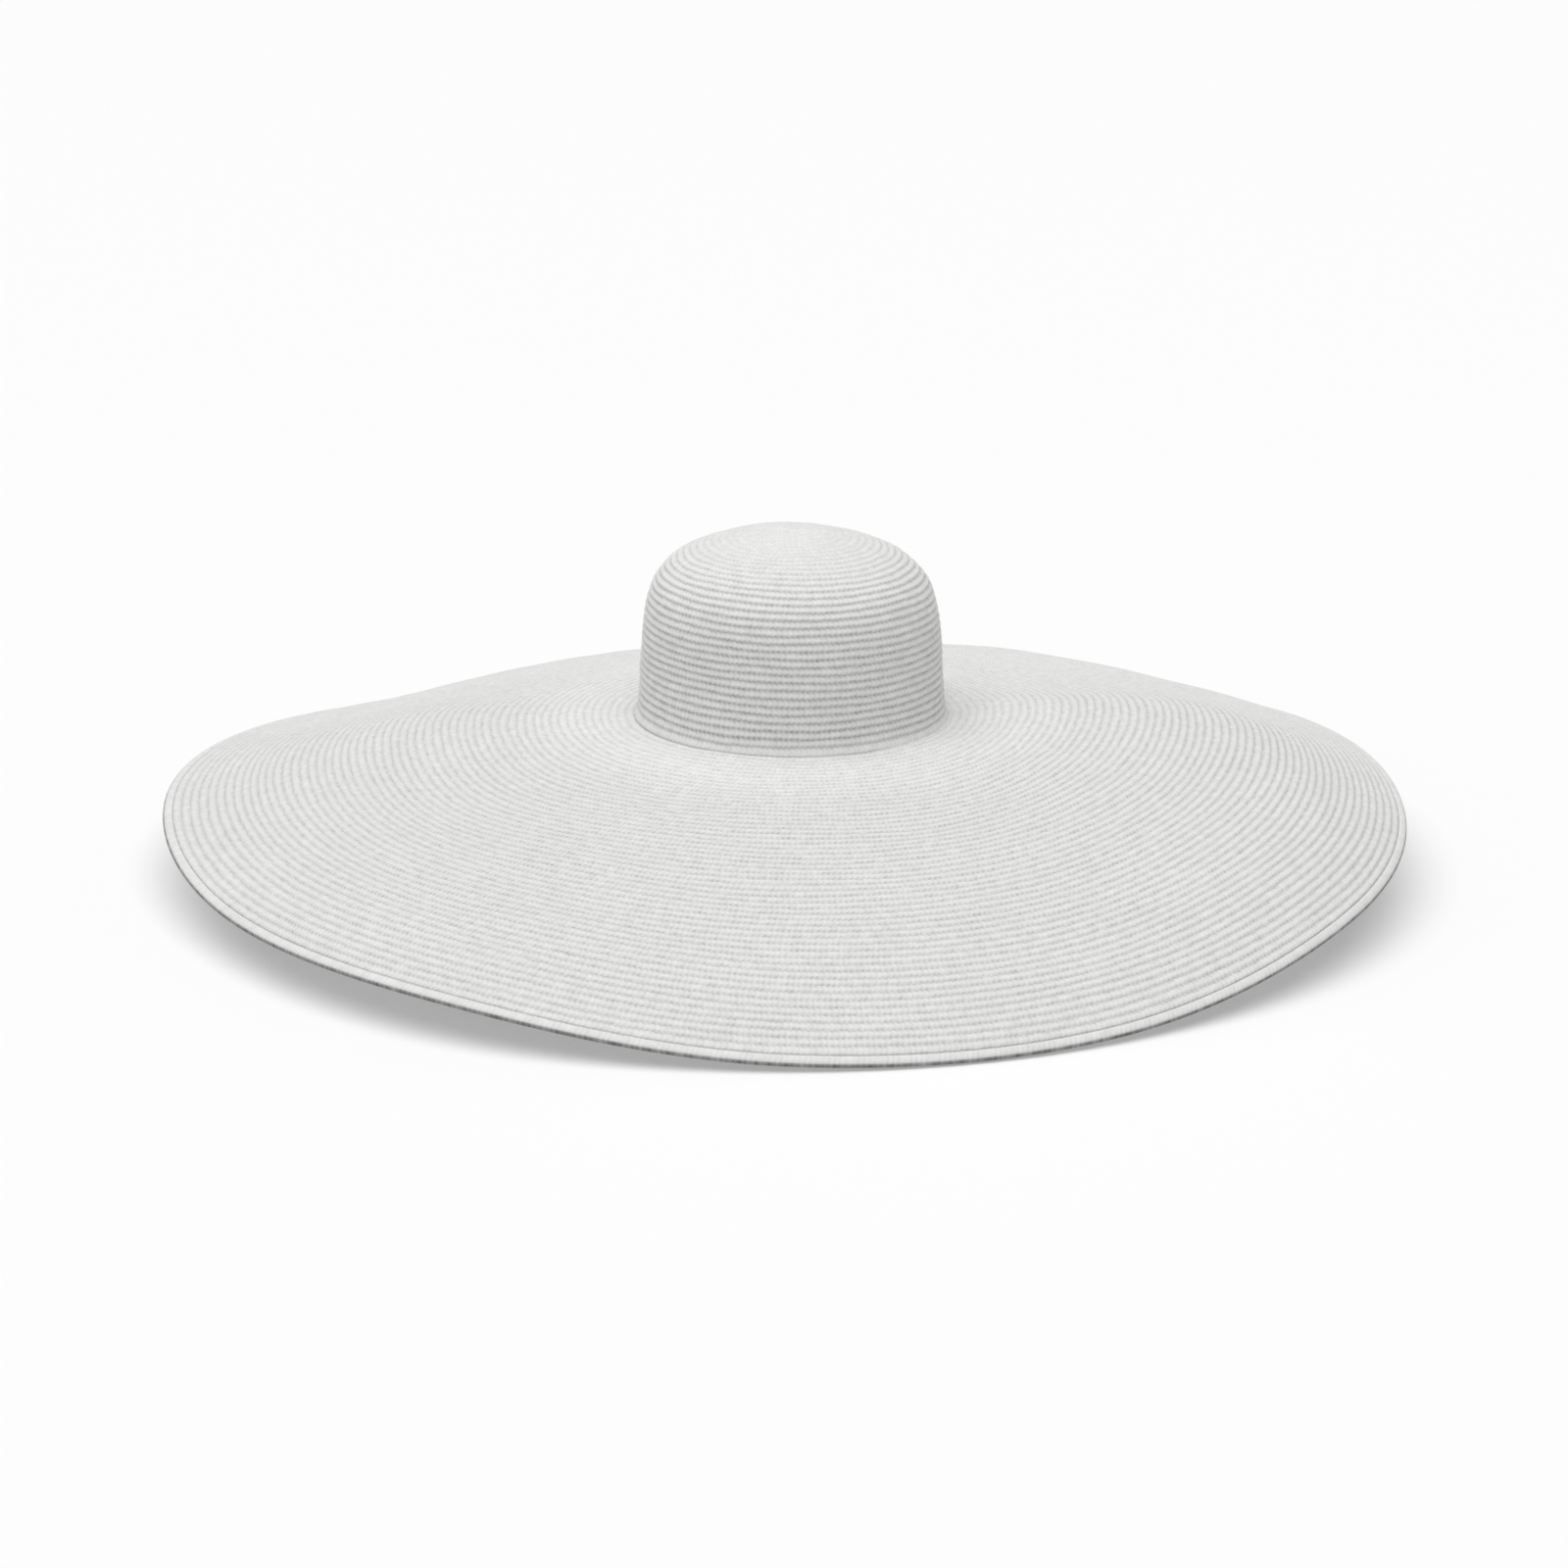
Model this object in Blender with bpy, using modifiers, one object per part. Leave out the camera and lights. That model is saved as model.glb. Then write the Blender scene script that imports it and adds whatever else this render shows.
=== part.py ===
"""Sun hat of sewn paper braid: a round crown on a very wide, waved brim.

Metres, +Z up. The front is -Y. The hat rests on its brim, which touches the
ground at the front and at the back, and the head goes in from below.
"""

import math

import bmesh
import bpy
import numpy as np

# Head and crown. The foot's outer radius suits a head about 58 cm around.
FOOT_RADIUS = 0.0948
CROWN_HEIGHT = 0.1130
WALL = 0.0020

# Brim, measured along its upper surface from the foot of the crown.
BRIM_WIDTH = 0.2945
EDGE_ROW_WIDTH = 0.0062
EDGE_ROW_THICKNESS = 0.0030

# Clearance between touching pieces.
GAP = 0.0003

# Facets around and along the brim.
AROUND = 72
BRIM_STEPS = 12

# Crown outline from the top down.
# radius: share of FOOT_RADIUS, height: share of CROWN_HEIGHT above the foot.
CROWN_COLUMNS = ("radius", "height")
CROWN_OUTLINE = (
    (0.000, 1.000),
    (0.165, 0.995),
    (0.325, 0.978),
    (0.472, 0.952),
    (0.595, 0.919),
    (0.698, 0.878),
    (0.778, 0.830),
    (0.838, 0.776),
    (0.884, 0.714),
    (0.916, 0.640),
    (0.938, 0.550),
    (0.950, 0.440),
    (0.958, 0.320),
    (0.966, 0.200),
    (0.975, 0.105),
    (0.986, 0.042),
    (1.000, 0.000),
)

# Brim sections. Each row is the section at one azimuth, counted in degrees
# from +X toward +Y. The other columns are the downward slope in degrees at
# the crown, at each fifth of the width, and at the edge.
BRIM_COLUMNS = (
    "azimuth",
    "root",
    "fifth",
    "two_fifths",
    "three_fifths",
    "four_fifths",
    "edge",
)
BRIM_SECTIONS = (
    (0, -6.0, -5.0, 5.0, 16.0, 26.0, 30.0),
    (30, 0.5, 4.5, 8.0, 12.5, 18.0, 21.0),
    (60, 2.5, 5.0, 8.5, 14.0, 25.5, 40.0),
    (90, 2.5, 6.0, 12.0, 21.0, 31.0, 42.0),
    (120, 2.5, 5.5, 12.0, 20.0, 28.0, 45.0),
    (150, 3.0, 7.5, 12.0, 15.5, 17.0, 14.0),
    (180, 3.0, 3.5, 8.0, 14.5, 17.0, 13.5),
    (210, 6.0, 10.0, 12.0, 9.0, 15.5, 33.0),
    (240, 5.0, 8.0, 11.5, 13.5, 19.5, 31.0),
    (270, 4.0, 8.0, 14.0, 20.5, 26.0, 38.0),
    (300, 4.0, 8.0, 12.5, 19.0, 27.5, 41.0),
    (330, -1.0, 2.5, 8.0, 13.5, 22.0, 41.0),
)


def smooth_weights(fraction):
    """Four weights of the curve that passes through each of its stations."""
    square = fraction * fraction
    cube = square * fraction
    return (
        -0.5 * fraction + square - 0.5 * cube,
        1.0 - 2.5 * square + 1.5 * cube,
        0.5 * fraction + 2.0 * square - 1.5 * cube,
        -0.5 * square + 0.5 * cube,
    )


def brim_slopes(azimuths):
    """Slope in radians for each azimuth (row) and table column.

    The curve runs smoothly through the twelve sections and closes on itself.
    """
    table = np.array(BRIM_SECTIONS, dtype=float)[:, 1:]
    count = len(table)
    place = azimuths / (2.0 * math.pi) * count
    first = np.floor(place).astype(int)
    weights = smooth_weights((place - first)[:, None])
    slopes = np.zeros((len(azimuths), table.shape[1]))
    for step, weight in enumerate(weights):
        slopes += weight * table[(first + step - 1) % count]
    return np.radians(slopes)


def brim_surface(azimuths, arcs):
    """Upper surface of the brim, as radius, height and slope arrays.

    Each section starts level with the crown's foot and is drawn by adding up
    small steps whose slope is read from the table.
    """
    fine = 240
    fine_arc = np.linspace(0.0, BRIM_WIDTH, fine + 1)
    columns = brim_slopes(azimuths)
    knots = np.linspace(0.0, BRIM_WIDTH, columns.shape[1])
    slope = np.array([np.interp(fine_arc, knots, row) for row in columns])
    step = BRIM_WIDTH / fine
    middle = 0.5 * (slope[:, 1:] + slope[:, :-1])
    start = np.zeros((len(azimuths), 1))
    out = np.hstack([start, np.cumsum(np.cos(middle) * step, axis=1)])
    down = np.hstack([start, np.cumsum(np.sin(middle) * step, axis=1)])
    radius = np.array([np.interp(arcs, fine_arc, row) for row in out])
    height = np.array([-np.interp(arcs, fine_arc, row) for row in down])
    angle = np.array([np.interp(arcs, fine_arc, row) for row in slope])
    return FOOT_RADIUS - WALL + radius, height, angle


def ring_points(azimuths, radius, height):
    """Points of one closed ring, a row for each azimuth."""
    across = radius * np.cos(azimuths)
    along = radius * np.sin(azimuths)
    return np.stack([across, along, height], axis=-1)


def straw(name, colour, roughness):
    """Principled material of one piece."""
    material = bpy.data.materials.new(name)
    material.use_nodes = True
    shader = material.node_tree.nodes["Principled BSDF"]
    shader.inputs["Base Color"].default_value = (*colour, 1.0)
    shader.inputs["Roughness"].default_value = roughness
    return material


def add_object(name, mesh, material, collection, place):
    """Adds a named object with its material, smooth shading and place."""
    mesh.materials.append(material)
    mesh.shade_smooth()
    item = bpy.data.objects.new(name, mesh)
    item.location = place
    collection.objects.link(item)
    return item


def build_crown(collection, material, place):
    """Crown wall turned from its outline and given its thickness inward."""
    outline = np.array(CROWN_OUTLINE)
    # The flare of the foot tips its inner corner down by this much.
    run = FOOT_RADIUS * (outline[-1, 0] - outline[-2, 0])
    rise = CROWN_HEIGHT * (outline[-2, 1] - outline[-1, 1])
    tip = WALL * run / math.hypot(run, rise)
    # The foot stands clear of the brim's upper surface.
    base = GAP + tip
    points = [
        (FOOT_RADIUS * radius, 0.0, base + CROWN_HEIGHT * height)
        for radius, height in outline
    ]
    edges = [(index, index + 1) for index in range(len(points) - 1)]
    mesh = bpy.data.meshes.new("crown")
    mesh.from_pydata(points, edges, [])
    crown = add_object("crown", mesh, material, collection, place)
    turn = crown.modifiers.new("turn", "SCREW")
    turn.axis = "Z"
    turn.angle = 2.0 * math.pi
    turn.steps = AROUND
    turn.render_steps = AROUND
    turn.use_merge_vertices = True
    turn.merge_threshold = 0.0001
    turn.use_smooth_shade = True
    wall = crown.modifiers.new("wall", "SOLIDIFY")
    wall.thickness = WALL
    wall.offset = -1.0
    return crown


def sheet_loops(azimuths, arcs, thickness):
    """Rings of a sheet, out along its upper side and back along its lower.

    A lower point lies one thickness under its upper one, square to the
    brim's upper surface.
    """
    radius, height, angle = brim_surface(azimuths, arcs)
    low_radius = radius - thickness * np.sin(angle)
    low_height = height - thickness * np.cos(angle)
    upper = [
        ring_points(azimuths, radius[:, step], height[:, step])
        for step in range(len(arcs))
    ]
    lower = [
        ring_points(azimuths, low_radius[:, step], low_height[:, step])
        for step in range(len(arcs))
    ]
    return upper + lower[::-1]


def build_sheet(name, collection, material, place, loops):
    """Closed ring lofted through its loops, and back to the first one."""
    sheet = bmesh.new()
    rings = [[sheet.verts.new(point) for point in loop] for loop in loops]
    for near, far in zip(rings, rings[1:] + rings[:1]):
        for index in range(AROUND):
            after = (index + 1) % AROUND
            sheet.faces.new((near[index], far[index], far[after], near[after]))
    mesh = bpy.data.meshes.new(name)
    sheet.to_mesh(mesh)
    sheet.free()
    return add_object(name, mesh, material, collection, place)


def resting_place(edge_loops):
    """Shift that sets the lowest corner on the ground, centred about Z."""
    points = np.concatenate(edge_loops)
    low = points.min(axis=0)
    high = points.max(axis=0)
    return (
        -0.5 * float(low[0] + high[0]),
        -0.5 * float(low[1] + high[1]),
        -float(low[2]),
    )


def main():
    """Builds the hat."""
    for item in list(bpy.data.objects):
        bpy.data.objects.remove(item, do_unlink=True)
    collection = bpy.data.collections.new("straw_beach_hat")
    bpy.context.scene.collection.children.link(collection)
    azimuths = np.arange(AROUND) * (2.0 * math.pi / AROUND)
    seam = BRIM_WIDTH - EDGE_ROW_WIDTH
    brim_arcs = np.linspace(0.0, seam - GAP, BRIM_STEPS + 1)
    brim_loops = sheet_loops(azimuths, brim_arcs, WALL)
    edge_arcs = np.array([seam, BRIM_WIDTH])
    edge_loops = sheet_loops(azimuths, edge_arcs, EDGE_ROW_THICKNESS)
    place = resting_place(edge_loops)
    crown_straw = straw("crown_straw", (0.62, 0.62, 0.60), 0.85)
    brim_straw = straw("brim_straw", (0.70, 0.70, 0.68), 0.85)
    edge_straw = straw("edge_straw", (0.66, 0.66, 0.64), 0.85)
    build_crown(collection, crown_straw, place)
    build_sheet("brim", collection, brim_straw, place, brim_loops)
    build_sheet("brim_edge", collection, edge_straw, place, edge_loops)


main()
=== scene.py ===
"""Finish of the straw beach hat: sewn paper braid on a plain pale floor.

The crown and the brim are sheets of braid rows that follow one spiral, and
the brim ends in a thicker row. Lengths are in metres, with +Z up and the
front of the hat facing -Y.
"""

from __future__ import annotations

import logging
import math
from dataclasses import dataclass, field
from enum import Enum
from functools import partial
from typing import Mapping

import bpy
import numpy as np
from mathutils import Matrix, Vector

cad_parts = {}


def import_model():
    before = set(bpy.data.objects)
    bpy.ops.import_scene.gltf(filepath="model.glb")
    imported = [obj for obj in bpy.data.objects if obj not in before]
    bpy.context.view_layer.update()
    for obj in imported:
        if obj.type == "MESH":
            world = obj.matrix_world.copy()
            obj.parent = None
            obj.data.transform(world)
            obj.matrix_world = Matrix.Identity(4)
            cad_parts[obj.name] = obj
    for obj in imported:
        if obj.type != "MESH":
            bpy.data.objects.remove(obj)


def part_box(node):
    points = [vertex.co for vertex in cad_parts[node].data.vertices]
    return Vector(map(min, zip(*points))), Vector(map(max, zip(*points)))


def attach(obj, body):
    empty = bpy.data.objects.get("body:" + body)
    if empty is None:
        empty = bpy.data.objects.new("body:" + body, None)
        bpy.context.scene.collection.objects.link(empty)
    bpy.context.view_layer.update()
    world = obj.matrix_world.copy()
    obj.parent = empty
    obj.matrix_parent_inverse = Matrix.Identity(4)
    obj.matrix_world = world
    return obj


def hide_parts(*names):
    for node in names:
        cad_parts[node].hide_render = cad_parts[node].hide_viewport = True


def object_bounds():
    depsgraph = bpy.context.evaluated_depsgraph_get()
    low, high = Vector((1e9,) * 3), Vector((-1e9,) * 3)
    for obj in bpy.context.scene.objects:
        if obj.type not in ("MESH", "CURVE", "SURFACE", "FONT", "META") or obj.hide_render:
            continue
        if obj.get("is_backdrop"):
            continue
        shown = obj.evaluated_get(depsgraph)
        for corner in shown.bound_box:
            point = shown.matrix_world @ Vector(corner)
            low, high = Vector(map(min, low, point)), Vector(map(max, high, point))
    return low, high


LOG = logging.getLogger("straw_beach_hat")
MM = 0.001
TURN = 2.0 * math.pi
PHOTO_SIDE = 1600
WELD_DECIMALS = 7
TAPE_MAP = "tape"
ROW_END = 0.9999


# Sizes.


@dataclass(frozen=True)
class HatSizes:
    """Driving sizes of the hat, in metres, as in the solid model."""

    foot_radius: float = 0.0948
    crown_height: float = 0.1130
    wall: float = 0.0020
    brim_width: float = 0.2945
    edge_row_width: float = 0.0062
    edge_row_thickness: float = 0.0030
    gap: float = 0.0003


# Crown outline from the top down: share of the foot's radius, and share of
# the crown's height above the foot.
CROWN_OUTLINE = (
    (0.000, 1.000),
    (0.165, 0.992),
    (0.325, 0.971),
    (0.472, 0.943),
    (0.595, 0.910),
    (0.698, 0.870),
    (0.778, 0.824),
    (0.838, 0.772),
    (0.884, 0.714),
    (0.916, 0.640),
    (0.938, 0.550),
    (0.950, 0.440),
    (0.958, 0.320),
    (0.966, 0.200),
    (0.975, 0.105),
    (0.986, 0.042),
    (1.000, 0.000),
)

# Brim sections: azimuth, then the downward slope in degrees at the crown, at
# each fifth of the width and at the edge.
BRIM_SECTIONS = (
    (0, -6.0, -5.0, 5.0, 16.0, 26.0, 30.0),
    (30, 0.5, 4.5, 8.0, 12.5, 18.0, 21.0),
    (60, 2.5, 5.0, 8.5, 14.0, 25.5, 40.0),
    (90, 2.5, 6.0, 12.0, 21.0, 31.0, 42.0),
    (120, 2.5, 5.5, 12.0, 20.0, 28.0, 45.0),
    (150, 3.0, 7.5, 12.0, 15.5, 17.0, 14.0),
    (180, 3.0, 3.5, 8.0, 14.5, 17.0, 13.5),
    (210, 6.0, 10.0, 12.0, 9.0, 15.5, 33.0),
    (240, 5.0, 8.0, 11.5, 13.5, 19.5, 31.0),
    (270, 4.0, 8.0, 14.0, 20.5, 26.0, 38.0),
    (300, 4.0, 8.0, 12.5, 19.0, 27.5, 41.0),
    (330, -1.0, 2.5, 8.0, 13.5, 22.0, 41.0),
)

# Section of the edge row: share of the row's width, and depth under the
# brim's upper surface in millimetres, out along the top and back below.
EDGE_SECTION = (
    (0.00, 0.42),
    (0.13, 0.04),
    (0.29, -0.16),
    (0.46, -0.22),
    (0.62, -0.12),
    (0.75, 0.12),
    (0.87, 0.50),
    (0.96, 1.05),
    (1.00, 1.75),
    (0.98, 2.45),
    (0.90, 2.90),
    (0.64, 3.00),
    (0.30, 2.95),
    (0.00, 2.30),
)


# Node tools.


def linear_colour(code: str) -> tuple[float, float, float, float]:
    """Turns an sRGB hex code into a linear colour.

    Args:
        code: six hex digits, with or without a leading hash.

    Returns:
        Red, green, blue and alpha, with each channel put through the sRGB
        curve.
    """
    digits = code.lstrip("#")
    channels = [int(digits[at : at + 2], 16) / 255.0 for at in (0, 2, 4)]
    red, green, blue = (
        c / 12.92 if c <= 0.04045 else ((c + 0.055) / 1.055) ** 2.4
        for c in channels
    )
    return red, green, blue, 1.0


def add_node(
    tree: bpy.types.NodeTree,
    kind: str,
    *feeds: object,
    inputs: Mapping[str | int, object] | None = None,
    **settings: object,
) -> bpy.types.Node:
    """Adds a node with its settings, values and links.

    Args:
        tree: the node tree to add to.
        kind: the node's type, without the prefix that all types share.
        feeds: what goes into the first inputs, in their order. A socket is
            linked, a node is linked by its first output, and a value is set.
        inputs: what goes into other inputs, by name or number.
        settings: attributes of the node.

    Returns:
        The new node.
    """
    node = tree.nodes.new("ShaderNode" + kind)
    for name, value in settings.items():
        setattr(node, name, value)
    for key, value in [*enumerate(feeds), *(inputs or {}).items()]:
        if isinstance(value, bpy.types.Node):
            value = value.outputs[0]
        if isinstance(value, bpy.types.NodeSocket):
            tree.links.new(value, node.inputs[key])
        else:
            node.inputs[key].default_value = value
    return node


def blank_tree(material: bpy.types.Material) -> bpy.types.NodeTree:
    """Empties a new material's node tree.

    Args:
        material: the new material.

    Returns:
        Its node tree, without nodes.
    """
    material.use_nodes = True
    material.node_tree.nodes.clear()
    return material.node_tree


# Finishes.


class Side(Enum):
    """The two sides of a sheet of braid."""

    OUTER = 0
    INNER = 1


@dataclass(frozen=True)
class Press:
    """How flat and smooth the first and last rows of a sheet are pressed.

    The relief grows by a smooth step from its share at the first row to all
    of it after a number of rows, while a painted light that lightens the
    paper of the first rows fades. Over the rows before the last border it
    falls evenly to another share.
    """

    share: float = 1.0
    rows: float = 1.0
    painted_light: float = 0.0
    border: float = 1000.0
    border_rows: float = 2.0
    border_share: float = 1.0

    def relief(self, row: np.ndarray) -> np.ndarray:
        """Works out how much relief is left.

        Args:
            row: row numbers, counted from the first row.

        Returns:
            The share of the full relief at each of them.
        """
        ramp = np.clip(row / self.rows, 0.0, 1.0)
        grown = self.share + (1.0 - self.share) * ramp * ramp * (3.0 - 2.0 * ramp)
        near = np.clip((row - self.border) / self.border_rows + 1.0, 0.0, 1.0)
        return grown * (1.0 - (1.0 - self.border_share) * near)


@dataclass(frozen=True)
class PlaitFinish:
    """Matt paper braid, plaited from flat folded strips and machine sewn.

    The eye gets even rows, each crossed by small slanting ribs where the strips
    turn under one another, and a line of painted shade where the next row laps.
    All spacings are real ones, in millimetres.
    """

    name: str
    paper: str
    lap_shade: str
    lap_strength: float
    press: Press = Press()
    lap_power: float = 2.2
    rib_mm: float = 3.2
    rib_slant: float = 0.45
    rib_height_mm: float = 0.18
    rib_tone_and_shade: float = 0.05
    bead: float = 0.5
    strand_mm: float = 0.53
    strand_height_mm: float = 0.03
    uneven_mm: float = 6.0
    uneven_rows: float = 0.7
    uneven_lap: float = 2.4
    uneven_tone: float = 0.16
    stray: float = 0.30
    patch_mm: float = 45.0
    patch_tone: float = 0.03
    roughness: float = 0.82
    ior: float = 1.45

    def material(self) -> bpy.types.Material:
        """Builds the braid's material.

        The tape map gives the length along the tape in metres and the row
        count across. Ribs are a sine of the length, set back toward the laps
        so that each row reads as a chevron. Strips are a finer sine of the
        same phase. The lap line is painted shade, darkening with a power of
        the distance from the row's middle, more strongly between two ribs. One
        cloudy noise, stretched along the tape, makes the laps stray, the
        painted shade deepen and the paper lighter or darker, as in handwork.

        Returns:
            The new material.
        """
        material = bpy.data.materials.new(self.name)
        tree = blank_tree(material)
        add = partial(add_node, tree)
        tape = add("SeparateXYZ", add("UVMap", uv_map=TAPE_MAP))
        along, rows = tape.outputs[0], tape.outputs[1]

        spot = add(
            "CombineXYZ",
            add("Math", along, self.uneven_mm * MM, operation="DIVIDE"),
            add("Math", rows, self.uneven_rows, operation="DIVIDE"),
        )
        cloud = add(
            "TexNoise",
            inputs={"Vector": spot, "Scale": 1.0, "Detail": 2.0},
            noise_dimensions="2D",
        )
        chance = add("SeparateColor", cloud.outputs["Color"]).outputs

        # Place across the row and count of ribs along it.
        shift = add("Math", chance[0], self.stray, -0.5 * self.stray, operation="MULTIPLY_ADD")
        strayed = add("Math", rows, shift, operation="ADD")
        part = add("Math", strayed, operation="FRACT")
        middle = add("Math", part, 2.0, -1.0, operation="MULTIPLY_ADD")
        across = add("Math", middle, operation="ABSOLUTE")
        count = add("Math", along, self.rib_mm * MM, operation="DIVIDE")
        phase = add("Math", across, self.rib_slant, count, operation="MULTIPLY_ADD")
        turn = add("Math", phase, TURN, operation="MULTIPLY")
        finer = add("Math", turn, round(self.rib_mm / self.strand_mm), operation="MULTIPLY")
        rib_wave = add("Math", turn, operation="SINE")
        rib = add("Math", rib_wave, 0.5, 0.5, operation="MULTIPLY_ADD")
        strand_wave = add("Math", finer, operation="SINE")
        strand = add("Math", strand_wave, 0.5, 0.5, operation="MULTIPLY_ADD")
        lap = add("Math", across, self.lap_power, operation="POWER")

        # Painted shade at the laps.
        ramp = add(
            "MapRange",
            rows,
            inputs={"From Max": self.press.rows},
            interpolation_type="SMOOTHSTEP",
        )
        grown = add(
            "Math",
            ramp,
            self.lap_strength * (1.0 - self.press.share),
            self.lap_strength * self.press.share,
            operation="MULTIPLY_ADD",
        )
        near = add(
            "MapRange",
            rows,
            inputs={
                "From Min": self.press.border - self.press.border_rows,
                "From Max": self.press.border,
                "To Min": 1.0,
                "To Max": self.press.border_share,
            },
        )
        relief = add("Math", grown, near, operation="MULTIPLY")
        open_lap = add("Math", rib, -self.bead, 1.0, operation="MULTIPLY_ADD")
        least = 1.0 - 0.5 * self.uneven_lap
        depth = add("Math", chance[1], self.uneven_lap, least, operation="MULTIPLY_ADD")
        held_depth = add("Math", depth, 0.0, operation="MAXIMUM")
        lap_depth = add("Math", open_lap, held_depth, operation="MULTIPLY")
        deep_lap = add("Math", lap, lap_depth, operation="MULTIPLY")
        shade = add("Math", deep_lap, relief, operation="MULTIPLY")
        base = add(
            "Mix",
            shade,
            inputs={6: linear_colour(self.paper), 7: linear_colour(self.lap_shade)},
            data_type="RGBA",
        )

        # Tone of the paper: each rib by chance, cloudy streaks and wide patches.
        # Each rib's back is lighter than the dips between ribs, a painted shade,
        # and the first rows get a painted light.
        cell = add(
            "CombineXYZ",
            add("Math", phase, operation="FLOOR"),
            add("Math", rows, operation="FLOOR"),
        )
        dice = add("TexWhiteNoise", cell, noise_dimensions="2D")
        spread = add("TexCoord").outputs["Object"]
        patch = add(
            "TexNoise",
            inputs={"Vector": spread, "Scale": 1.0 / (self.patch_mm * MM), "Detail": 2.0},
        )
        tone = None
        for source, gain, offset in (
            (dice.outputs["Value"], self.rib_tone_and_shade, 1.0 - self.rib_tone_and_shade),
            # Lighter on each rib's back, darker between ribs: painted shade.
            (rib, self.rib_tone_and_shade, 1.0 - self.rib_tone_and_shade),
            (chance[2], self.uneven_tone, 1.0 - 0.5 * self.uneven_tone),
            (patch, 2.0 * self.patch_tone, 1.0 - self.patch_tone),
            # Painted light, fading out from the first rows.
            (ramp, -self.press.painted_light, 1.0 + self.press.painted_light),
        ):
            share = add("Math", source, gain, offset, operation="MULTIPLY_ADD")
            tone = add("Math", tone, share, operation="MULTIPLY") if tone else share
        grey = add("CombineColor", tone, tone, tone)
        colour = add(
            "Mix",
            1.0,
            inputs={6: base.outputs[2], 7: grey},
            data_type="RGBA",
            blend_type="MULTIPLY",
        )

        # Relief of the ribs, flat at the laps, and of the strips on them.
        crest = add("Math", 1.0, lap, operation="SUBTRACT")
        back = add("Math", rib, crest, operation="MULTIPLY")
        rib_lift = add("Math", back, self.rib_height_mm * MM, operation="MULTIPLY")
        lift = add(
            "Math",
            strand,
            self.strand_height_mm * MM,
            rib_lift,
            operation="MULTIPLY_ADD",
        )
        bump = add("Bump", inputs={"Strength": 1.0, "Distance": 1.0, "Height": lift})
        shader = add(
            "BsdfPrincipled",
            inputs={
                "Base Color": colour.outputs[2],
                "Roughness": self.roughness,
                "IOR": self.ior,
                "Normal": bump,
            },
        )
        add("OutputMaterial", shader)
        return material


@dataclass(frozen=True)
class FloorFinish:
    """Plain matt white table of frosted acrylic, faintly lit from within.

    The eye gets a pale ground on which shadows stay light.
    """

    name: str = "studio_floor"
    paint: str = "#DADADA"
    roughness: float = 0.95
    glow: float = 0.215

    def material(self) -> bpy.types.Material:
        """Builds the floor's plain material.

        Returns:
            The new material.
        """
        material = bpy.data.materials.new(self.name)
        tree = blank_tree(material)
        shader = add_node(
            tree,
            "BsdfPrincipled",
            inputs={
                "Base Color": linear_colour(self.paint),
                "Roughness": self.roughness,
                "Specular IOR Level": 0.1,
                "Emission Color": linear_colour("#FFFFFF"),
                "Emission Strength": self.glow,
            },
        )
        add_node(tree, "OutputMaterial", shader)
        return material


CROWN_ROWS = 38
CROWN_PRESS = Press(share=0.02, rows=28.0, border=CROWN_ROWS, border_share=0.25)
# Painted light on the brim's first rows, where the crown's shade falls near the root.
BRIM_PRESS = Press(share=0.75, rows=18.0, painted_light=0.10)
CROWN_FINISH = PlaitFinish(
    "crown_paper_braid",
    paper="#E7E7E5",
    lap_shade="#888885",
    lap_strength=0.49,
    lap_power=1.5,
    press=CROWN_PRESS,
)
# The brim's paper, used on the edge too, is the crown's paper set a little darker: a painted
# shade.
BRIM_FINISH = PlaitFinish(
    "brim_paper_braid",
    paper="#E3E3E2",
    lap_shade="#9A9A9A",
    lap_strength=0.44,
    lap_power=1.7,
    press=BRIM_PRESS,
)
# The edge row's lap shade is painted shade: it darkens the row's inner border and, fully, its
# outer face, where the rim faces out and down.
EDGE_FINISH = PlaitFinish(
    "edge_paper_braid",
    paper="#E3E3E2",
    lap_shade="#6A6A6A",
    lap_strength=0.90,
    lap_power=6.0,
    bead=0.1,
    uneven_lap=0.8,
    stray=0.0,
)


# Surfaces.


def smooth_weights(fraction: np.ndarray) -> tuple[np.ndarray, ...]:
    """Weights of the smooth curve that passes through each of its stations.

    Args:
        fraction: how far a point lies from one station to the next.

    Returns:
        The weights of the station before, the two around and the one after.
    """
    square = fraction * fraction
    cube = square * fraction
    return (
        -0.5 * fraction + square - 0.5 * cube,
        1.0 - 2.5 * square + 1.5 * cube,
        0.5 * fraction + 2.0 * square - 1.5 * cube,
        -0.5 * square + 0.5 * cube,
    )


def unevenness(azimuth: np.ndarray, arc: np.ndarray, sines: tuple) -> np.ndarray:
    """Gentle unevenness of handwork, as a sum of sines.

    Args:
        azimuth: direction of each point, in radians.
        arc: distance of each point along its section, in metres.
        sines: rows of size, whole waves around, and wavelength across in
            metres.

    Returns:
        For each point, the sum of size times the sine of waves around times
        the azimuth, turned by the distance over the wavelength across.
    """
    total = np.zeros(np.broadcast(azimuth, arc).shape)
    for size, around, across in sines:
        total += size * np.sin(around * azimuth + TURN * arc / across + around)
    return total


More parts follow.
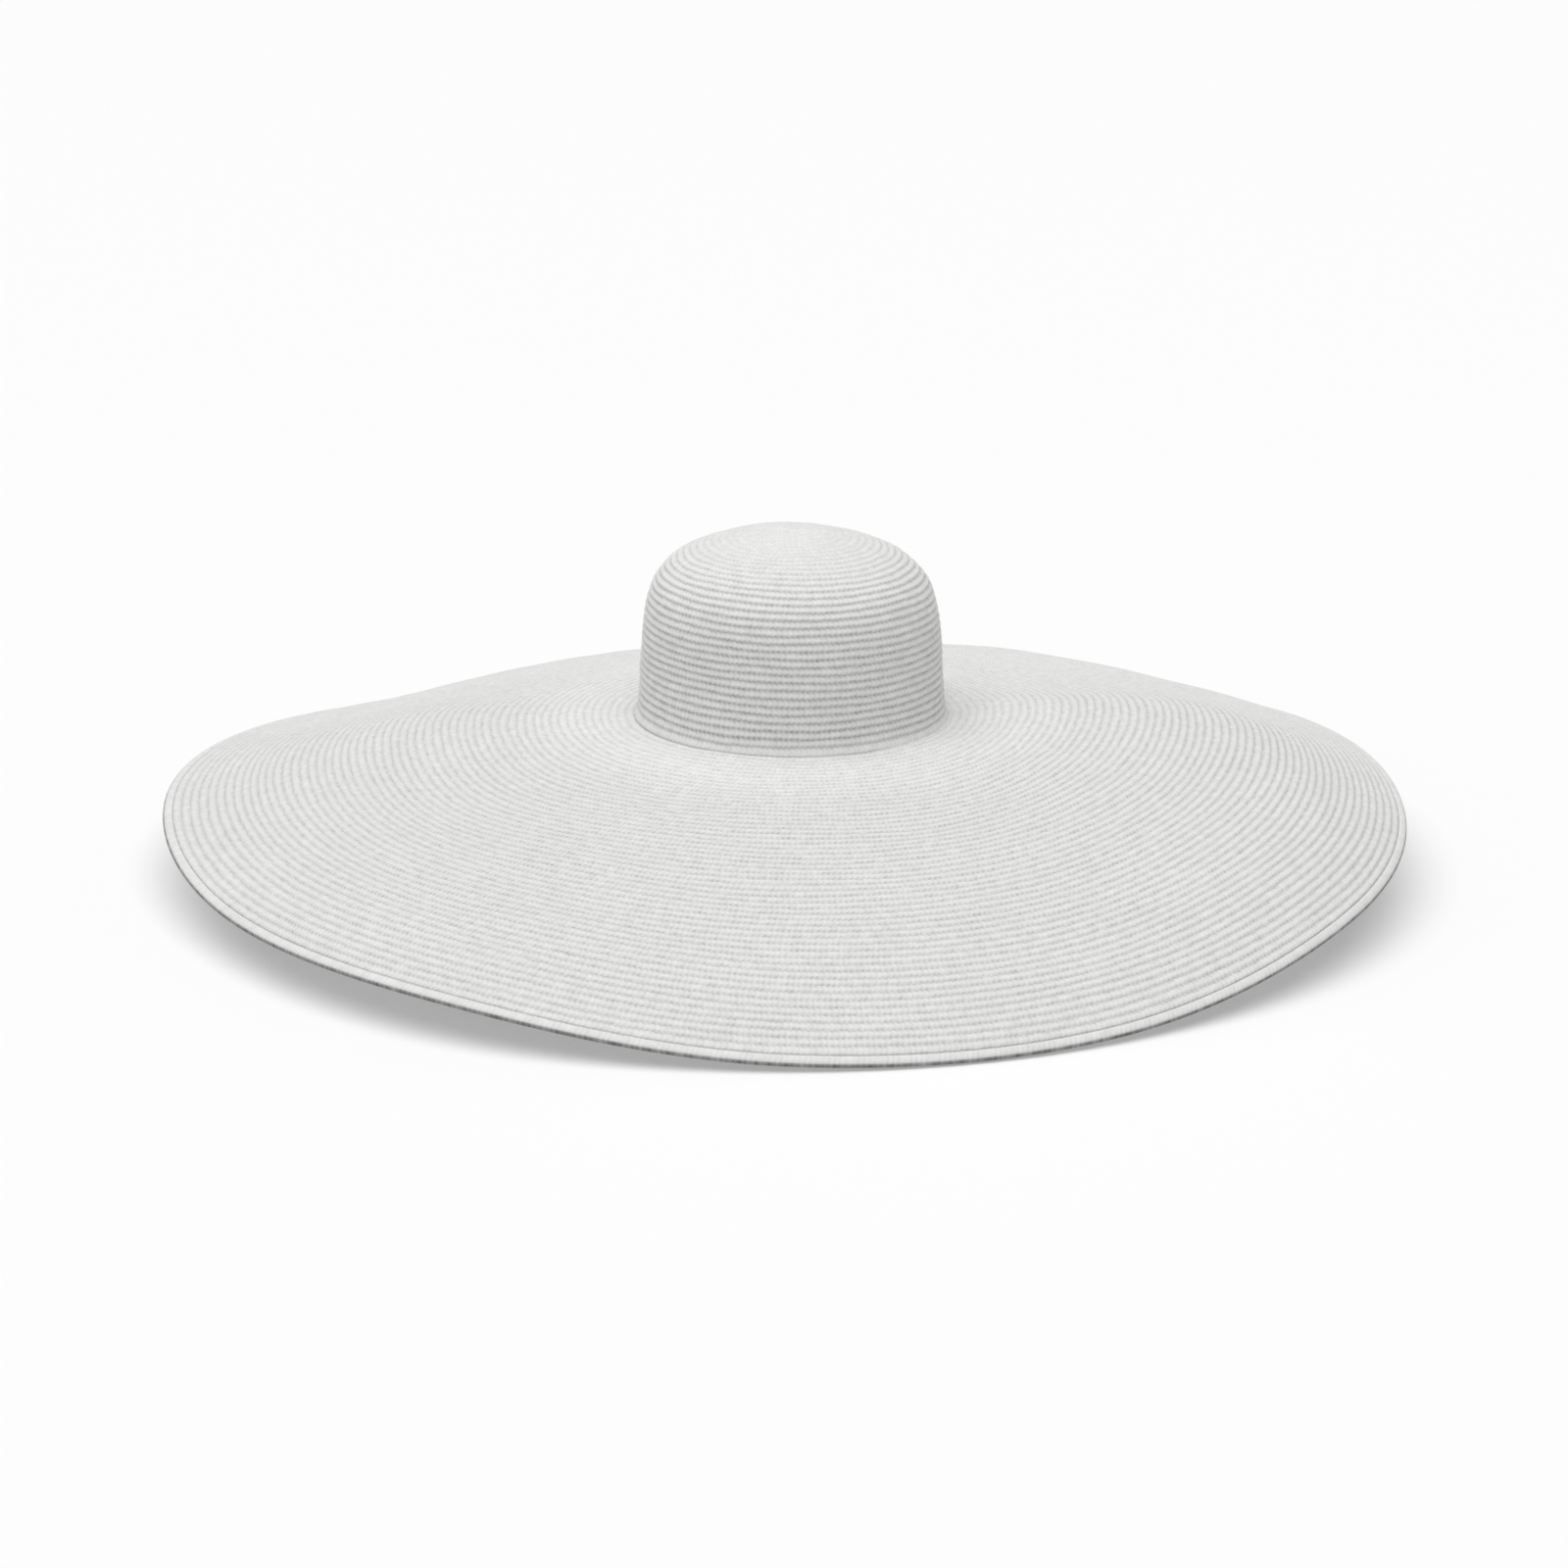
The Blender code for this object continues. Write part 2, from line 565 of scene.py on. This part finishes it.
@dataclass
class SectionSheet:
    """A sheet whose section in each direction is known by its arc length.

    Attributes:
        radius, height, slope: a row for each direction and a column for each
            fine step of arc length.
        length: arc length of a whole section.
        wander: sines by which rows wander along the sheet.
        swell: sines by which the surface swells and sinks.
        lean: how far the top leans toward -X.
        fade: distance from either border over which both sets of sines fade.
    """

    radius: np.ndarray
    height: np.ndarray
    slope: np.ndarray
    length: float
    wander: tuple = ()
    swell: tuple = ()
    lean: float = 0.0
    fade: float = 6.0 * MM

    @staticmethod
    def read(values: np.ndarray, first: np.ndarray, part: np.ndarray) -> np.ndarray:
        """Reads fine values between two of their steps.

        Args:
            values: a row for each direction and a column for each fine step.
            first: the step before each point.
            part: how far each point lies toward the next step.

        Returns:
            The value of each point.
        """
        low = np.take_along_axis(values, first, axis=1)
        high = np.take_along_axis(values, first + 1, axis=1)
        return low + part * (high - low)

    def points(
        self, azimuth: np.ndarray, arc: np.ndarray, lift: np.ndarray
    ) -> np.ndarray:
        """Points of the sheet.

        Each point is found on its section by straight interpolation between
        fine steps, and is then lifted square to the section. A lean shifts
        it by the cube of its share of the sheet's height.

        Args:
            azimuth: a column of directions, in radians.
            arc: distance along the section, a row for each direction.
            lift: distance to move each point outward.

        Returns:
            An array with x, y and z along its last axis.
        """
        room = np.minimum(arc, self.length - arc) / self.fade
        near_edge = np.clip(room, 0.0, 1.0)
        moved = arc + near_edge * unevenness(azimuth, arc, self.wander)
        place = np.clip(moved / self.length, 0.0, 1.0) * (self.radius.shape[1] - 1)
        first = np.minimum(place.astype(int), self.radius.shape[1] - 2)
        part = place - first

        radius = self.read(self.radius, first, part)
        height = self.read(self.height, first, part)
        slope = self.read(self.slope, first, part)
        rise = lift + near_edge * unevenness(azimuth, arc, self.swell)
        radius = radius + rise * np.sin(slope)
        height = height + rise * np.cos(slope)
        share = np.clip(height / self.height.max(), 0.0, 1.0) if self.lean else 0.0
        x = radius * np.cos(azimuth) - self.lean * share**3
        return np.stack([x, radius * np.sin(azimuth), height], axis=-1)


@dataclass
class RowShape:
    """Rounded back of one row of braid.

    The height over the row is a power of the sine of half a turn, leaned
    toward the row's outer side, so that each row laps over the next one.
    """

    height: float
    press: Press
    lean: float = 1.6
    fullness: float = 0.85
    sunk: float = 0.6

    def lift(
        self, fraction: np.ndarray, width: np.ndarray, row: np.ndarray
    ) -> np.ndarray:
        """Height of the row's surface.

        Args:
            fraction: place across the row, from 0 to 1.
            width: the row's width there, as a share of a full row.
            row: the row number there, counted from the first row.

        Returns:
            The height above the sheet's middle line, in metres.
        """
        wave = np.sin(math.pi * np.clip(fraction, 0.0, 1.0) ** self.lean)
        relief = self.height * width * self.press.relief(row)
        return relief * (np.abs(wave) ** self.fullness - self.sunk)


@dataclass
class SpiralFace:
    """One side of a sheet, as a grid that follows a spiral of rows.

    The rows are laid so that a row's end after one turn meets the start of
    the next. The first row opens from nothing and the last one closes to
    nothing, so both borders of the sheet are whole rings.

    Attributes:
        around: stations in a turn.
        rows: whole rows from border to border.
        steps: grid steps across a row.
        shared_pole: whether the first border is a single point.
        tuck_at: share of a turn at which the braid's end is tucked in.
        tuck_length: share of a turn that the tucked end takes.
        settling: rows over which the spiral settles into rings.
    """

    around: int
    rows: int
    steps: int
    shared_pole: bool = False
    tuck_at: float = 0.25
    tuck_length: float = 0.12
    settling: float = 8.0

    @property
    def columns(self) -> int:
        """Grid points from border to border."""
        return (self.rows + 1) * self.steps + 1

    def layout(self) -> tuple[np.ndarray, np.ndarray, np.ndarray, np.ndarray]:
        """Places the grid on the spiral.

        At the share t of a turn, row i starts at i - 1 + t. Over the last
        rows, t gives way to a step at the back, where the braid's end is
        tucked in, so the outermost rows run as whole rings. Starts are held
        between 0 and the number of rows.

        Returns:
            The share of a turn, the row coordinate, the place across the
            row and the row's width, for each station and grid point.
        """
        share = (np.arange(self.around) / self.around)[:, None]
        ramp = np.clip((share - self.tuck_at) / self.tuck_length + 0.5, 0.0, 1.0)
        tuck = ramp * ramp * (3.0 - 2.0 * ramp)
        edge = np.arange(self.rows + 2)[None, :]
        settled = np.clip((edge - self.rows) / self.settling + 1.0, 0.0, 1.0)
        starts = edge - 1.0 + share + settled * (tuck - share)
        starts = np.clip(starts, 0.0, self.rows)
        index = np.arange(self.columns)
        row = np.minimum(index // self.steps, self.rows)
        across = (index - row * self.steps) / self.steps
        start = starts[:, row]
        width = starts[:, row + 1] - start
        return share, start + width * across, across + 0.0 * share, width

    def index_of(self, station: np.ndarray, column: np.ndarray) -> np.ndarray:
        """Number of a grid point, the same for points that coincide.

        Args:
            station: station number, which may equal the number of stations.
            column: grid point number across.

        Returns:
            Vertex numbers.
        """
        wrapped = station == self.around
        column = np.where(wrapped, column + self.steps, column)
        column = np.minimum(column, self.columns - 1)
        station = np.where(wrapped, 0, station)
        first = station == 0
        column = np.where(first, np.maximum(column, self.steps), column)
        number = station * self.columns + column
        if self.shared_pole:
            pole = (column == 0) | (first & (column == self.steps))
            number = np.where(pole, self.steps, number)
        return number

    def triangles(self) -> tuple[np.ndarray, np.ndarray, np.ndarray]:
        """Triangles of the grid, wound to face up and outward.

        Each grid cell gives two triangles, and those that have no width are
        dropped.

        Returns:
            Vertex numbers, station numbers and column numbers, three to each
            triangle.
        """
        station, column = np.meshgrid(
            np.arange(self.around), np.arange(self.columns - 1), indexing="ij"
        )
        station = station.ravel()
        column = column.ravel()
        corners = np.array(((0, 0), (0, 1), (1, 1), (0, 0), (1, 1), (1, 0)))
        stations = (station[:, None] + corners[:, 0]).reshape(-1, 3)
        columns = (column[:, None] + corners[:, 1]).reshape(-1, 3)
        numbers = self.index_of(stations, columns)
        whole = (
            (numbers[:, 0] != numbers[:, 1])
            & (numbers[:, 1] != numbers[:, 2])
            & (numbers[:, 2] != numbers[:, 0])
        )
        return numbers[whole], stations[whole], columns[whole]

    def tape_map(
        self, stations: np.ndarray, columns: np.ndarray, ring: np.ndarray
    ) -> np.ndarray:
        """Tape coordinates of triangle corners.

        The length along the tape is the running sum of its steps around,
        from the first row to the last.

        Args:
            stations: station numbers of the corners.
            columns: column numbers of the corners.
            ring: length of one turn for each row.

        Returns:
            Length along the tape in metres, and row count plus place across.
        """
        row = np.minimum(columns.min(axis=1) // self.steps, self.rows)[:, None]
        before = np.concatenate([[0.0], np.cumsum(ring)])
        share = stations / self.around
        length = before[row] + share * (before[row + 1] - before[row])
        across = (columns - row * self.steps) / self.steps
        return np.stack([length, row + np.clip(across, 0.0, ROW_END)], axis=-1)


@dataclass
class BraidSheet:
    """A closed sheet of braid with rows on both of its sides.

    Attributes:
        sheet: the sheet's sections.
        outer, inner: grids of the two sides.
        shape: rounding of the rows.
        wall: thickness of the sheet.
    """

    sheet: SectionSheet
    outer: SpiralFace
    inner: SpiralFace
    shape: RowShape
    wall: float

    def side(
        self, face: SpiralFace, side: Side
    ) -> tuple[np.ndarray, np.ndarray, np.ndarray]:
        """Works out one side of the sheet.

        The side's spiral is laid over the arc length, and its rows are
        lifted outward, or on the inner side one wall down and downward.

        Args:
            face: the side's grid.
            side: which side it is.

        Returns:
            Points, triangles, and tape coordinates of the triangle corners.
        """
        share, coordinate, across, width = face.layout()
        azimuth = share * TURN
        arc = coordinate * (self.sheet.length / face.rows)
        lift = self.shape.lift(across, width, coordinate)
        if side is Side.INNER:
            lift = -self.wall - lift
        points = self.sheet.points(azimuth, arc, lift)
        if face.shared_pole:
            points[0, face.steps, :2] = (-self.sheet.lean, 0.0)
        numbers, stations, columns = face.triangles()
        middle = np.minimum(np.arange(face.rows + 1), face.rows - 0.5)
        steps = self.sheet.radius.shape[1] - 1
        ring = TURN * self.sheet.radius.mean(axis=0)[
            (middle / face.rows * steps).astype(int)
        ]
        tape = face.tape_map(stations, columns, ring)
        if side is Side.INNER:
            numbers = numbers[:, ::-1]
            tape = tape[:, ::-1]
        return points.reshape(-1, 3), numbers, tape

    def border(self, offset: int, last: bool) -> np.ndarray:
        """Joins the two sides along one border by a strip of triangles.

        Args:
            offset: number of points of the outer side.
            last: whether it is the last border and not the first.

        Returns:
            Point numbers, three to each triangle.
        """
        station = np.arange(self.outer.around)
        numbers = []
        for face, shift in ((self.outer, 0), (self.inner, offset)):
            column = face.columns - 1 if last else 0
            here = face.index_of(station, np.full_like(station, column))
            ahead = np.roll(here, -1)
            numbers += [here + shift, ahead + shift]
        a, b, c, d = numbers
        first = np.stack([a, c, b], axis=-1)
        second = np.stack([b, c, d], axis=-1)
        both = np.concatenate([first, second])
        return both if last else both[:, ::-1]

    def mesh(self, name: str) -> bpy.types.Mesh:
        """Builds the closed mesh with its tape map.

        Args:
            name: the mesh's name.

        Returns:
            The new mesh.
        """
        points, faces, tape = self.side(self.outer, Side.OUTER)
        low_points, low_faces, low_tape = self.side(self.inner, Side.INNER)
        offset = len(points)
        joins = [self.border(offset, last=True)]
        if not self.outer.shared_pole:
            joins.append(self.border(offset, last=False))
        join = np.concatenate(joins)
        vertices = np.concatenate([points, low_points])
        triangles = np.concatenate([faces, low_faces + offset, join])
        coordinates = np.concatenate(
            [tape, low_tape, np.full((len(join), 3, 2), 0.5)]
        )
        return triangle_mesh(name, vertices, triangles, coordinates)


def triangle_mesh(
    name: str, vertices: np.ndarray, triangles: np.ndarray, tape: np.ndarray
) -> bpy.types.Mesh:
    """Puts arrays into a smooth mesh, joined where points coincide.

    Args:
        name: the mesh's name.
        vertices: x, y and z of each point.
        triangles: three point numbers for each triangle.
        tape: two tape coordinates for each triangle corner.

    Returns:
        The new mesh.
    """
    rounded = np.round(vertices, WELD_DECIMALS)
    spots, same = np.unique(rounded, axis=0, return_inverse=True)
    triangles = same.reshape(-1)[triangles]
    whole = (np.diff(np.sort(triangles, axis=1), axis=1) > 0).all(axis=1)
    triangles, tape = triangles[whole], tape[whole]
    used, numbers = np.unique(triangles, return_inverse=True)
    numbers = numbers.reshape(-1)
    mesh = bpy.data.meshes.new(name)
    mesh.vertices.add(len(used))
    mesh.vertices.foreach_set("co", spots[used].astype(np.float32).ravel())
    mesh.loops.add(len(numbers))
    mesh.loops.foreach_set("vertex_index", numbers.astype(np.int32))
    mesh.polygons.add(len(triangles))
    starts = np.arange(0, len(numbers), 3, dtype=np.int32)
    mesh.polygons.foreach_set("loop_start", starts)
    mesh.update(calc_edges=True)
    layer = mesh.uv_layers.new(name=TAPE_MAP)
    layer.uv.foreach_set("vector", tape.astype(np.float32).ravel())
    mesh.shade_smooth()
    mesh.validate()
    return mesh


def add_piece(
    name: str,
    mesh: bpy.types.Mesh,
    material: bpy.types.Material,
    node: str,
) -> bpy.types.Object:
    """Adds a finished piece in place of its solid.

    Args:
        name: the piece's name.
        mesh: its mesh, already in place.
        material: its finish.
        node: the solid that it stands for.

    Returns:
        The new object.
    """
    piece = bpy.data.objects.new(name, mesh)
    mesh.materials.append(material)
    bpy.context.scene.collection.objects.link(piece)
    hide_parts(node)
    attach(piece, "root")
    LOG.info("%s: %d triangles", name, len(mesh.polygons))
    return piece


# Assemblies.


@dataclass
class Place:
    """Where the hat's axis and the root of its brim stand in the frame."""

    x: float
    y: float
    root: float

    @classmethod
    def from_frame(cls, sizes: HatSizes) -> "Place":
        """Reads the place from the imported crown.

        The crown is round, so its box is centred on the axis, and its foot
        stands one gap above the root of the brim.

        Args:
            sizes: the hat's sizes.

        Returns:
            The place.
        """
        low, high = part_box("crown")
        return cls(
            0.5 * (low.x + high.x), 0.5 * (low.y + high.y), low.z - sizes.gap
        )

    def move(self, mesh: bpy.types.Mesh) -> bpy.types.Mesh:
        """Moves a mesh made about the axis to its place.

        Args:
            mesh: the mesh.

        Returns:
            The same mesh.
        """
        mesh.transform(Matrix.Translation((self.x, self.y, self.root)))
        mesh.update()
        return mesh


@dataclass
class Crown:
    """Round crown of braid, wound from the middle of its top down."""

    sizes: HatSizes
    place: Place
    around: int = 192
    rows: int = CROWN_ROWS
    outer_steps: int = 8
    inner_steps: int = 3
    row_height: float = 0.95 * MM
    row_lean: float = 2.0
    flare: float = 1.3 * MM
    flare_length: float = 5.0 * MM
    foot_lift: float = 0.2 * MM
    foot_power: int = 12
    lean: float = 1.3 * MM
    fine: int = 1600

    def section(self) -> SectionSheet:
        """Crown section by arc length.

        The outline's rows are joined by a smooth curve, which is measured
        along and then read at even steps. It stands as high as the solid
        crown, and only its foot is let down onto the brim. Over the flare's
        length the foot turns outward with the cube of the way gone, so that
        the last row lies over the brim's first one, where the two are sewn.

        Returns:
            The crown's sheet.
        """
        table = np.array(CROWN_OUTLINE)
        ends = np.concatenate([table[1:2] * (-1, 1), table, 2 * table[-1:] - table[-2:-1]])
        spot = np.linspace(0.0, len(table) - 1.0, self.fine)
        first = np.minimum(spot.astype(int), len(table) - 2)
        weights = smooth_weights((spot - first)[:, None])
        curve = sum(w * ends[first + k] for k, w in enumerate(weights))
        radius = curve[:, 0] * self.sizes.foot_radius
        height = curve[:, 1] * self.sizes.crown_height
        way = np.clip(1.0 - height / self.flare_length, 0.0, 1.0)
        radius = radius + self.flare * way**3
        run = np.hypot(np.diff(radius), np.diff(height))
        arc = np.concatenate([[0.0], np.cumsum(run)])
        even = np.linspace(0.0, arc[-1], self.fine)
        radius = np.interp(even, arc, radius)
        height = np.interp(even, arc, height)
        slope = np.arctan2(-np.gradient(height), np.gradient(radius))
        slope[0] = 0.0
        run, rise = table[-1] - table[-2]
        run, rise = run * self.sizes.foot_radius, rise * self.sizes.crown_height
        base = self.sizes.gap + self.sizes.wall * run / math.hypot(run, rise)
        near_foot = (even / arc[-1]) ** self.foot_power
        height = height + base - (base - self.foot_lift) * near_foot
        rows = np.ones((self.around, 1))
        return SectionSheet(
            rows * radius,
            rows * height,
            rows * slope,
            float(arc[-1]),
            wander=(
                (0.22 * MM, 3, 0.061),
                (0.16 * MM, 7, -0.037),
                (0.10 * MM, 13, 0.023),
            ),
            swell=(
                (0.30 * MM, 4, 0.090),
                (0.14 * MM, 9, -0.040),
                (0.08 * MM, 17, 0.021),
            ),
            lean=self.lean,
        )

    def build(self) -> bpy.types.Object:
        """Builds, places and dresses the crown.

        Returns:
            The new object.
        """
        sheet = BraidSheet(
            self.section(),
            SpiralFace(self.around, self.rows, self.outer_steps, shared_pole=True),
            SpiralFace(self.around, self.rows, self.inner_steps, shared_pole=True),
            RowShape(self.row_height, CROWN_PRESS, lean=self.row_lean),
            self.sizes.wall,
        )
        mesh = self.place.move(sheet.mesh("crown_braid"))
        return add_piece(
            "crown_braid", mesh, CROWN_FINISH.material(), "crown"
        )


@dataclass
class BrimForm:
    """Form of the brim's upper surface."""

    sizes: HatSizes
    fine: int = 480

    def slopes(self, azimuth: np.ndarray) -> np.ndarray:
        """Downward slopes of the sections.

        A smooth curve runs through the sections and closes on itself.

        Args:
            azimuth: directions in radians.

        Returns:
            Slopes in radians, a row for each direction.
        """
        table = np.radians(np.array(BRIM_SECTIONS, dtype=float)[:, 1:])
        count = len(table)
        spot = azimuth / TURN * count
        first = np.floor(spot).astype(int)
        weights = smooth_weights((spot - first)[:, None])
        return sum(w * table[(first + k - 1) % count] for k, w in enumerate(weights))

    def section(self, azimuth: np.ndarray, length: float) -> SectionSheet:
        """Brim sections by arc length.

        Each section starts level with the root and adds up small steps whose
        slope is read between the table's columns.

        Args:
            azimuth: directions of the sections, in radians.
            length: arc length of the sheet, from the root outward.

        Returns:
            The brim's sheet.
        """
        columns = self.slopes(azimuth)
        step = length / self.fine
        arc = np.linspace(0.0, length, self.fine + 1)
        spot = arc / self.sizes.brim_width * (columns.shape[1] - 1)
        first = np.minimum(spot.astype(int), columns.shape[1] - 2)
        part = spot - first
        slope = columns[:, first] * (1.0 - part) + columns[:, first + 1] * part
        middle = 0.5 * (slope[:, 1:] + slope[:, :-1])
        start = np.zeros((len(azimuth), 1))
        out = np.hstack([start, np.cumsum(np.cos(middle) * step, axis=1)])
        down = np.hstack([start, np.cumsum(np.sin(middle) * step, axis=1)])
        return SectionSheet(
            self.sizes.foot_radius - self.sizes.wall + out,
            -down,
            slope,
            length,
            wander=(
                (0.25 * MM, 3, 0.071),
                (0.18 * MM, 8, -0.043),
                (0.12 * MM, 17, 0.029),
            ),
            swell=(
                (0.35 * MM, 5, 0.120),
                (0.22 * MM, 11, -0.055),
                (0.12 * MM, 23, 0.031),
            ),
        )


@dataclass
class Brim:
    """Very wide brim of braid, wound on from the crown outward."""

    sizes: HatSizes
    place: Place
    around: int = 180
    rows: int = 56
    outer_steps: int = 6
    inner_steps: int = 3
    row_height: float = 0.62 * MM

    def build(self) -> bpy.types.Object:
        """Builds, places and dresses the brim.

        Returns:
            The new object.
        """
        azimuth = np.arange(self.around) * (TURN / self.around)
        length = self.sizes.brim_width - self.sizes.edge_row_width - self.sizes.gap
        sheet = BraidSheet(
            BrimForm(self.sizes).section(azimuth, length),
            SpiralFace(self.around, self.rows, self.outer_steps),
            SpiralFace(self.around, self.rows, self.inner_steps),
            RowShape(self.row_height, BRIM_PRESS),
            self.sizes.wall,
        )
        mesh = self.place.move(sheet.mesh("brim_braid"))
        return add_piece(
            "brim_braid", mesh, BRIM_FINISH.material(), "brim"
        )


@dataclass
class EdgeRow:
    """Last row of braid, laid double, with its ribs modelled."""

    sizes: HatSizes
    place: Place
    ribs: int = 880
    steps: int = 4
    face_share: float = 0.88
    tape_start: float = 0.12
    rib_height: float = 0.12 * MM

    def build(self) -> bpy.types.Object:
        """Builds, places and dresses the edge row.

        Each point of the section table is set at its share of the width and
        at its depth under the brim's surface. A sine along the row makes it
        swell by the height of a rib.

        Returns:
            The new object.
        """
        stations = self.ribs * self.steps
        azimuth = np.arange(stations) * (TURN / stations)
        sheet = BrimForm(self.sizes).section(azimuth, self.sizes.brim_width)
        sheet.wander = ()
        sheet.swell = ()
        table = np.array(EDGE_SECTION)
        width = self.sizes.edge_row_width + self.sizes.gap
        arc = self.sizes.brim_width - width * (1.0 - table[:, 0])
        middle = 0.5 * self.sizes.edge_row_thickness
        depth = table[:, 1] * MM
        wave = np.sin(np.arange(stations) * (TURN / self.steps))[:, None]
        swell = 1.0 + wave * (self.rib_height / middle)
        lift = (middle - depth) * swell - middle
        points = sheet.points(azimuth[:, None], arc + 0.0 * wave, lift)
        mesh = self.place.move(self.ring_mesh(points, table[:, 0]))
        return add_piece(
            "edge_row_braid", mesh, EDGE_FINISH.material(), "brim_edge"
        )

    def ring_mesh(self, points: np.ndarray, across: np.ndarray) -> bpy.types.Mesh:
        """Closes the ring of sections into a mesh with its tape map.

        Args:
            points: a section of points for each station.
            across: place across the row of each point of the section.

        Returns:
            The new mesh.
        """
        stations, corners = points.shape[:2]
        station, corner = np.meshgrid(
            np.arange(stations), np.arange(corners), indexing="ij"
        )
        cell = np.array(((0, 0), (1, 1), (1, 0), (0, 0), (0, 1), (1, 1)))
        along = (station.ravel()[:, None] + cell[:, 0]).reshape(-1, 3)
        about = (corner.ravel()[:, None] + cell[:, 1]).reshape(-1, 3) % corners
        numbers = (along % stations) * corners + about
        middle = np.hypot(points[..., 0], points[..., 1]).mean()
        length = along / stations * (TURN * middle)
        # Past face_share of the section the tape reaches the row's end, so the outer face
        # takes the full painted shade.
        shown = self.tape_start + across[about] * (1.0 - self.tape_start) / self.face_share
        place = np.clip(shown, 0.0, ROW_END)
        tape = np.stack([length, place], axis=-1)
        return triangle_mesh("edge_row_braid", points.reshape(-1, 3), numbers, tape)


# Studio.


@dataclass
class PhotoCamera:
    """Camera at the photograph's viewing angle.

    The target is the middle of the brim's root, and its pixel is counted in
    the photograph from the top left corner.
    """

    target: tuple[float, float, float]
    elevation: float = math.radians(16.07)
    distance: float = 2.625
    roll: float = -0.008
    focal_pixels: float = 4402.0
    target_pixel: tuple[float, float] = (807.4, 726.1)
    sensor: float = 36.0

    def build(self) -> bpy.types.Object:
        """Makes the camera and puts it in use.

        It first looks at the target, then rolls about the view, and then
        turns aside and down until the target stands at its pixel.

        Returns:
            The camera.
        """
        sine, cosine = math.sin(self.elevation), math.cos(self.elevation)
        right = Vector((1.0, 0.0, 0.0))
        up = Vector((0.0, sine, cosine))
        ahead = Vector((0.0, cosine, -sine))
        place = Vector(self.target) - self.distance * ahead
        right, up = (
            math.cos(self.roll) * right - math.sin(self.roll) * up,
            math.sin(self.roll) * right + math.cos(self.roll) * up,
        )
        middle = 0.5 * PHOTO_SIDE
        aside = (self.target_pixel[0] - middle) / self.focal_pixels
        right, ahead = (
            math.cos(aside) * right + math.sin(aside) * ahead,
            math.cos(aside) * ahead - math.sin(aside) * right,
        )
        raised = (middle - self.target_pixel[1]) / self.focal_pixels
        up, ahead = (
            math.cos(raised) * up + math.sin(raised) * ahead,
            math.cos(raised) * ahead - math.sin(raised) * up,
        )
        data = bpy.data.cameras.new("photo_camera")
        data.sensor_width = self.sensor
        data.lens = self.focal_pixels / PHOTO_SIDE * self.sensor
        data.clip_start = 0.01
        data.clip_end = 100.0
        camera = bpy.data.objects.new("photo_camera", data)
        axes = Matrix((right, up, -ahead)).transposed().to_4x4()
        camera.matrix_world = Matrix.Translation(place) @ axes
        bpy.context.scene.collection.objects.link(camera)
        bpy.context.scene.camera = camera
        return camera


@dataclass
class Studio:
    """Pale floor, one broad soft light from above and an even surround."""

    floor_half: float = 30.0
    key_strength: float = 2.48
    key_softness: float = math.radians(80.0)
    key_elevation: float = math.radians(80.5)
    key_azimuth: float = math.radians(-38.0)
    surround: str = "#F8F8F8"
    surround_light: float = 0.34
    surround_seen: float = 0.93

    def floor(self) -> bpy.types.Object:
        """Lays the floor at ground level.

        Returns:
            The floor.
        """
        half = self.floor_half
        mesh = bpy.data.meshes.new("floor")
        mesh.from_pydata(
            [(-half, -half, 0), (half, -half, 0), (half, half, 0), (-half, half, 0)],
            [],
            [(0, 1, 2, 3)],
        )
        mesh.materials.append(FloorFinish().material())
        floor = bpy.data.objects.new("floor", mesh)
        bpy.context.scene.collection.objects.link(floor)
        floor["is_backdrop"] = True
        return floor

    def key_light(self) -> bpy.types.Object:
        """Hangs the broad light in front of and above the hat.

        Returns:
            The light.
        """
        data = bpy.data.lights.new("broad_light", "SUN")
        data.energy = self.key_strength
        data.angle = self.key_softness
        light = bpy.data.objects.new("broad_light", data)
        flat = math.cos(self.key_elevation)
        toward = Vector(
            (
                flat * math.sin(self.key_azimuth),
                -flat * math.cos(self.key_azimuth),
                math.sin(self.key_elevation),
            )
        )
        light.rotation_mode = "QUATERNION"
        light.rotation_quaternion = toward.to_track_quat("Z", "Y")
        bpy.context.scene.collection.objects.link(light)
        return light

    def surroundings(self) -> None:
        """Sets the even surround, which looks lighter than it shines."""
        world = bpy.data.worlds.new("studio")
        bpy.context.scene.world = world
        world.use_nodes = True
        tree = world.node_tree
        tree.nodes.clear()
        strength = add_node(
            tree,
            "MapRange",
            add_node(tree, "LightPath").outputs["Is Camera Ray"],
            inputs={"To Min": self.surround_light, "To Max": self.surround_seen},
        )
        glow = add_node(tree, "Background", linear_colour(self.surround), strength)
        add_node(tree, "OutputWorld", glow)

    def build(self) -> None:
        """Builds the whole studio."""
        self.floor()
        self.key_light()
        self.surroundings()
        view = bpy.context.scene.view_settings
        view.view_transform = "Standard"
        view.look = "None"


@dataclass
class SizeNote:
    """Keeps the solid model's box."""

    solid: list[list[float]] = field(default_factory=list)

    def read(self) -> list[list[float]]:
        """Returns the shown object's box as plain numbers."""
        return [list(corner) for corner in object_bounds()]

    def write(self) -> None:
        """Brings the view layer up to date."""
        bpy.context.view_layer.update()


def main() -> SizeNote:
    """Builds the hat and its studio.

    Returns:
        The note of the solid model's box.
    """
    logging.basicConfig(level=logging.INFO, format="%(name)s: %(message)s")
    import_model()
    note = SizeNote()
    note.solid = note.read()
    sizes = HatSizes()
    place = Place.from_frame(sizes)
    PhotoCamera((place.x, place.y, place.root)).build()
    Crown(sizes, place).build()
    Brim(sizes, place).build()
    EdgeRow(sizes, place).build()
    Studio().build()
    note.write()
    return note


if __name__ == "__main__":
    main()
